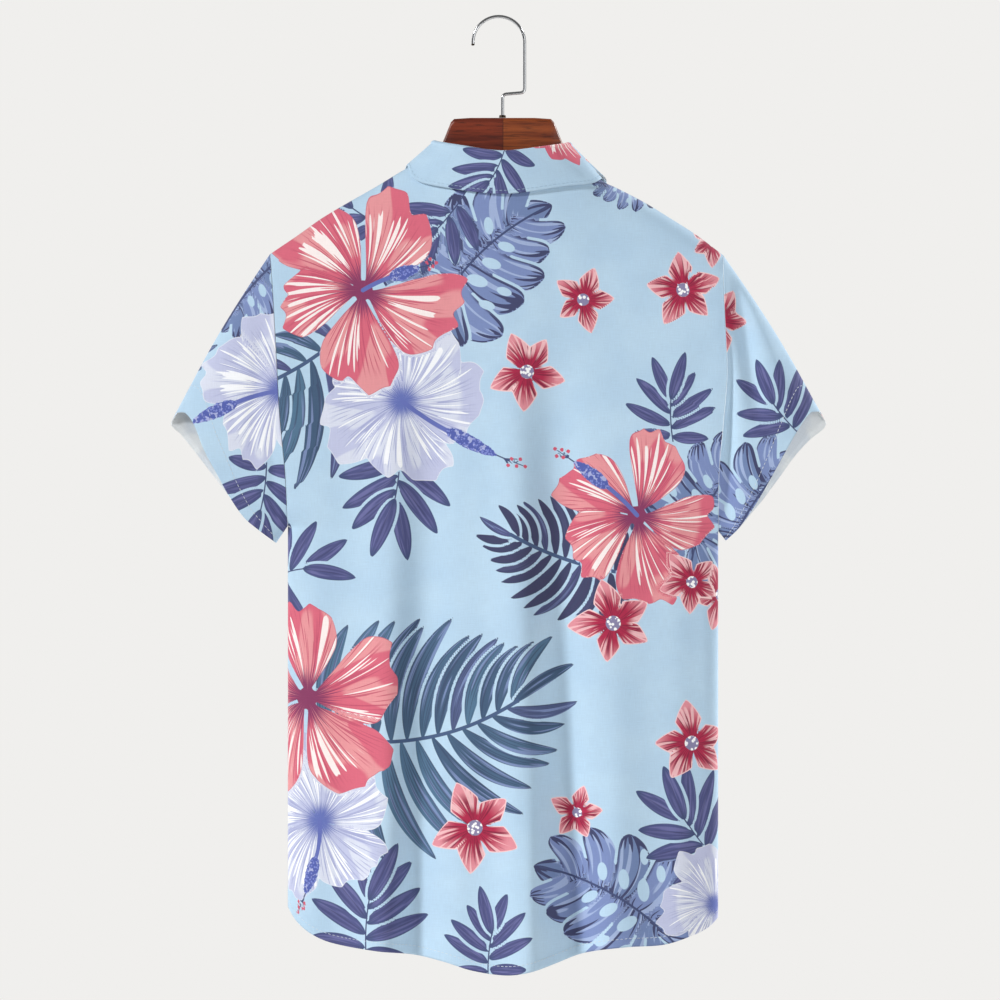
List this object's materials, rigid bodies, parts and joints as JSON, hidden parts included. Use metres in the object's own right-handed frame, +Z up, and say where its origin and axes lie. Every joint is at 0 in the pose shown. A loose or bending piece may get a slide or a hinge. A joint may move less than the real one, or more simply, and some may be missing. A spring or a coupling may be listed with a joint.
{
  "type": "hawaiian shirt on a wooden hanger",
  "caption": "Short-sleeved printed hawaiian shirt with a turned-down collar and buttoned front, hung on a shaped wooden hanger with a wire hook.",
  "frame": {"origin": "inside of the hook's top, where a rail carries the hanger, straight above the hook's stub", "axes": "+Z up, -Y out of the shirt's back, +Y out of its buttoned front, +X to the wearer's right"},
  "size_m": [0.6117, 0.0829, 0.8918],
  "materials": {
    "cloth": "light matt woven cloth, pale blue, printed with hibiscus flowers and palm leaves",
    "button": "pale glossy shirt button",
    "wood": "reddish-brown varnished wood",
    "hook": "bright plated steel wire",
    "ferrule": "dark metal ring"
  },
  "bodies": {
    "root": {"back": "cloth", "front_left": "cloth", "front_right": "cloth", "sleeve_left": "cloth", "sleeve_right": "cloth", "collar_stand": "cloth", "collar_fall": "cloth", "button_1": "button", "button_2": "button", "button_3": "button", "button_4": "button", "button_5": "button", "button_6": "button", "hanger_wood": "wood", "hanger_hook": "hook", "hanger_ferrule": "ferrule"}
  },
  "joints": []
}
